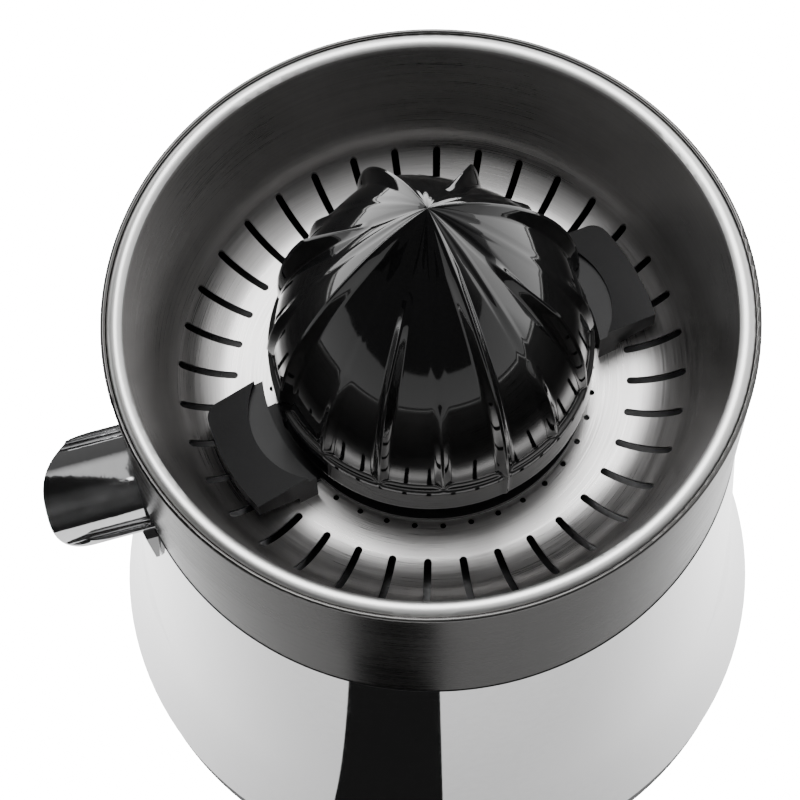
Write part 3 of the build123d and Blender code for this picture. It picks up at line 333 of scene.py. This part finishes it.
def rows_to_faces(count, rows):
    """Quads between neighbouring closed rows of points."""
    faces = []
    for row in range(rows - 1):
        for i in range(count):
            j = (i + 1) % count
            faces.append((row * count + i, row * count + j, (row + 1) * count + j, (row + 1) * count + i))
    return faces


def juicing_cone():
    """Fins and panels outside, plain turned hollow inside, closed at the hub."""
    lower = [CONE_BASE_Z + above for above in LOWER_ROWS]
    ledge = [CONE_LEDGE + (LEDGE_TOP - CONE_LEDGE) * i / LEDGE_STEPS for i in range(LEDGE_STEPS + 1)]
    upper = [LEDGE_TOP + (CONE_APEX_Z - LEDGE_TOP) * (1 - (1 - i / UPPER_STEPS) ** UPPER_POWER)
             for i in range(1, UPPER_STEPS)]
    rows = [cone_row(z) for z in [CONE_BASE_Z] + lower + ledge + upper]
    count = len(rows[0])
    # the lower edge is rounded
    for i, share in enumerate(EDGE_DRAWN_IN):
        rows[i] = [(x * share, y * share, z) for x, y, z in rows[i]]
    first = PANEL_STEPS + FLANK_STEPS
    angles = [radians(CONE_PHASE) + 2 * pi * (i - first) / count for i in range(count)]
    inner = [[(r * cos(a) * MM, r * sin(a) * MM, (RIM_Z + z) * MM) for a in angles] for r, z in INSIDE]
    rows = inner + rows
    points = [p for row in rows for p in row]
    faces = rows_to_faces(count, len(rows))
    tip = len(points)
    points.append((0.0, 0.0, (RIM_Z + CONE_APEX_Z) * MM))
    last = (len(rows) - 1) * count
    faces += [(last + i, last + (i + 1) % count, tip) for i in range(count)]
    hub = len(points)
    points.append((0.0, 0.0, (RIM_Z + INSIDE[0][1]) * MM))
    faces += [((i + 1) % count, i, hub) for i in range(count)]
    return make_mesh("juicing_cone_shaped", points, faces, finishes["cone_plastic"])


cone = juicing_cone()
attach(cone, "cone")
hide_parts("juicing_cone")


def ring(name, corners, count, material):
    """A ring turned round the axis from the corners of its section, (radius, height) in millimetres."""
    angles = [2 * pi * i / count for i in range(count)]
    points = [(r * cos(a) * MM, r * sin(a) * MM, z * MM) for r, z in corners for a in angles]
    # the last row of faces comes back to the first row of points
    faces = [tuple(v % len(points) for v in face) for face in rows_to_faces(count, len(corners) + 1)]
    return make_mesh(name, points, faces, material)


# dark rubber ring in the seam between the band and the body: a painted shadow of the thin gap between them
SEAM_Z, SEAM_R = 157.15, 98.75
SHADE_RING_INWARD, SHADE_RING_OUTWARD, SHADE_RING_CROWN, SHADE_RING_HALF_H, SHADE_RING_COUNT = 0.6, 0.1, 0.28, 0.13, 360
shade_ring_top, shade_ring_bottom = SEAM_Z + SHADE_RING_HALF_H, SEAM_Z - SHADE_RING_HALF_H
shade_ring_corners = [(SEAM_R - SHADE_RING_INWARD, shade_ring_top), (SEAM_R - SHADE_RING_INWARD, shade_ring_bottom),
                (SEAM_R + SHADE_RING_OUTWARD, shade_ring_bottom), (SEAM_R + SHADE_RING_CROWN, SEAM_Z),
                (SEAM_R + SHADE_RING_OUTWARD, shade_ring_top)]
shade_ring = ring("seam_shade_ring", shade_ring_corners, SHADE_RING_COUNT, finishes["rubber"])
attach(shade_ring, "bowl")

# moulded edges of the handle wings are soft
EDGE_WIDTH, EDGE_SEGMENTS, EDGE_ANGLE = 1.1 * MM, 4, radians(35)
soft_edges = nodes["filter_handle_ring"].modifiers.new("soft_edges", "BEVEL")
soft_edges.width = EDGE_WIDTH
soft_edges.segments = EDGE_SEGMENTS
soft_edges.limit_method = "ANGLE"
soft_edges.angle_limit = EDGE_ANGLE
soft_edges.harden_normals = True

# ---------------------------------------------------------------- camera
CAMERA_PLACE = Vector((0.0, -407.7, 818.1 + RIM_Z)) * MM
CAMERA_PITCH, CAMERA_YAW, CAMERA_ROLL = radians(65.19), radians(-1.48), radians(-2.82)
CAMERA_LENS, CAMERA_SENSOR = 135.0, 36.0


def turned(vector):
    """From the viewer's axes, +X to the right and +Y away, to the object's."""
    return Matrix.Rotation(radians(VIEW_TURN), 3, "Z") @ Vector(vector)


ahead = Vector((sin(CAMERA_YAW) * cos(CAMERA_PITCH), cos(CAMERA_YAW) * cos(CAMERA_PITCH),
                -sin(CAMERA_PITCH)))
level = Vector((cos(CAMERA_YAW), -sin(CAMERA_YAW), 0.0))
upright = level.cross(ahead)
across = cos(CAMERA_ROLL) * level + sin(CAMERA_ROLL) * upright
upward = cos(CAMERA_ROLL) * upright - sin(CAMERA_ROLL) * level
axes = Matrix([turned(across), turned(upward), -turned(ahead)]).transposed()
camera_data = bpy.data.cameras.new("camera")
camera_data.lens = CAMERA_LENS
camera_data.sensor_width = CAMERA_SENSOR
camera = bpy.data.objects.new("camera", camera_data)
camera.matrix_world = Matrix.Translation(turned(CAMERA_PLACE)) @ axes.to_4x4()
bpy.context.scene.collection.objects.link(camera)
bpy.context.scene.camera = camera

# ---------------------------------------------------------------- floor, reflectors and lights
FLOOR_SIZE = 6.0
FLOOR_COLOUR, FLOOR_ROUGHNESS = (0.82, 0.82, 0.82, 1.0), 0.9
BURNT_OUT = 18.0  # how strongly the floor and the surroundings shine at the camera itself
FLOOR_GLOW = (0.55, 2.6)  # towards the viewer, and behind the object
FLOOR_GLOW_FROM, FLOOR_GLOW_TO = -0.14, 0.06
floor_material, tree = new_material("pale_floor")
paint = tree.add("ShaderNodeBsdfPrincipled", Base_Color=FLOOR_COLOUR, Roughness=FLOOR_ROUGHNESS)
place = tree.add("ShaderNodeTexCoord").outputs["Object"]
behind = tree.add("ShaderNodeVectorMath", {"operation": "DOT_PRODUCT"})
tree.fill(behind, place, turned((0.0, 1.0, 0.0)))
glow = tree.spread(behind.outputs["Value"], *FLOOR_GLOW, FLOOR_GLOW_FROM, FLOOR_GLOW_TO)
shaders = []
for strength in (glow, BURNT_OUT):
    light = tree.add("ShaderNodeEmission", Color=WHITE, Strength=strength)
    shaders.append(tree.fill(tree.add("ShaderNodeAddShader"), paint.outputs[0], light.outputs[0]))
tree.finish(tree.by_camera_ray(*shaders))

half = FLOOR_SIZE / 2
floor = make_mesh("floor", [(-half, -half, 0), (half, -half, 0), (half, half, 0), (-half, half, 0)],
                  [(0, 1, 2, 3)], floor_material, smooth=False)

CARD_COLOUR = (0.012, 0.012, 0.012, 1.0)
card_material, tree = new_material("black_card")
tree.finish(tree.add("ShaderNodeEmission", Color=CARD_COLOUR, Strength=1.0).outputs[0])


def black_card(name, corners):
    """A flag that only shows in the gloss of the steel. Corners are in the viewer's axes."""
    outline = [tuple(range(len(corners)))]
    card = make_mesh(name, [turned(c) for c in corners], outline, card_material, smooth=False)
    card.visible_camera = False
    card.visible_diffuse = False
    card.visible_shadow = False
    card.visible_transmission = False


def arc(radius, start, end, z):
    """Points of a level arc about the object's axis, from one azimuth to another."""
    turns = [radians(start + (end - start) * i / FLAG_STEPS) for i in range(FLAG_STEPS + 1)]
    return [Vector((radius * cos(turn), radius * sin(turn), z)) for turn in turns]


# one flag lies on the floor in front of the body, the other hangs over the spout
FLAG_FROM, FLAG_TO, FLAG_STEPS = -114.0, -90.0, 6
FLAG_IN_R, FLAG_OUT_R, FLAG_Z = 0.1135, 0.30, 0.0006
black_card("front_flag", arc(FLAG_IN_R, FLAG_FROM, FLAG_TO, FLAG_Z)
           + arc(FLAG_OUT_R, FLAG_TO, FLAG_FROM, FLAG_Z))
SPOUT_FLAG_X, SPOUT_FLAG_Y, SPOUT_FLAG_Z = (-0.34, -0.105), (-0.26, 0.22), 0.33
(left, right), (near, far) = SPOUT_FLAG_X, SPOUT_FLAG_Y
sides = ((left, near), (right, near), (right, far), (left, far))
black_card("spout_flag", [(x, y, SPOUT_FLAG_Z) for x, y in sides])

# the surroundings are dark on the viewer's side, bright behind the object, and half bright overhead
WALL_GLOW, WALL_FROM, WALL_TO = (0.10, 1.25), -0.35, 0.45
WALL_FALL, WALL_FOOT, WALL_TOP = (1.15, 0.95), 0.1, 1.0
CEILING_GLOW, CEILING_FROM, CEILING_TO = (0.0, 0.7), 0.7, 0.92
world = bpy.data.worlds.new("studio")
bpy.context.scene.world = world
world.use_nodes = True
tree = Tree(world.node_tree)
direction = tree.add("ShaderNodeTexCoord").outputs["Generated"]
height = tree.add("ShaderNodeSeparateXYZ", Vector=direction).outputs["Z"]
away = tree.add("ShaderNodeVectorMath", {"operation": "DOT_PRODUCT"})
tree.fill(away, direction, turned((0.0, 1.0, 0.0)))
backlight = tree.spread(away.outputs["Value"], *WALL_GLOW, WALL_FROM, WALL_TO)
backlight = tree.math("MULTIPLY", backlight, tree.spread(height, *WALL_FALL, WALL_FOOT, WALL_TOP))
studio = tree.math("MAXIMUM", backlight, tree.spread(height, *CEILING_GLOW, CEILING_FROM, CEILING_TO))
wall, white = [tree.add("ShaderNodeBackground", Color=WHITE, Strength=strength).outputs[0]
               for strength in (studio, BURNT_OUT)]
tree.finish(tree.by_camera_ray(wall, white), "ShaderNodeOutputWorld")


def softbox(name, place, target, size, power):
    """A square area light that faces a point. Places are in the viewer's axes."""
    light = bpy.data.lights.new(name, "AREA")
    light.shape = "SQUARE"
    light.size = size
    light.energy = power
    lamp = bpy.data.objects.new(name, light)
    aim = turned(target) - turned(place)
    facing = aim.to_track_quat("-Z", "Y").to_matrix().to_4x4()
    lamp.matrix_world = Matrix.Translation(turned(place)) @ facing
    lamp.visible_camera = False
    bpy.context.scene.collection.objects.link(lamp)


SOFTBOX_PLACE, SOFTBOX_TARGET = (-0.15, 0.55, 1.35), (0.0, 0.0, 0.2)
SOFTBOX_SIZE, SOFTBOX_POWER = 0.9, 14.0
softbox("overhead", SOFTBOX_PLACE, SOFTBOX_TARGET, SOFTBOX_SIZE, SOFTBOX_POWER)
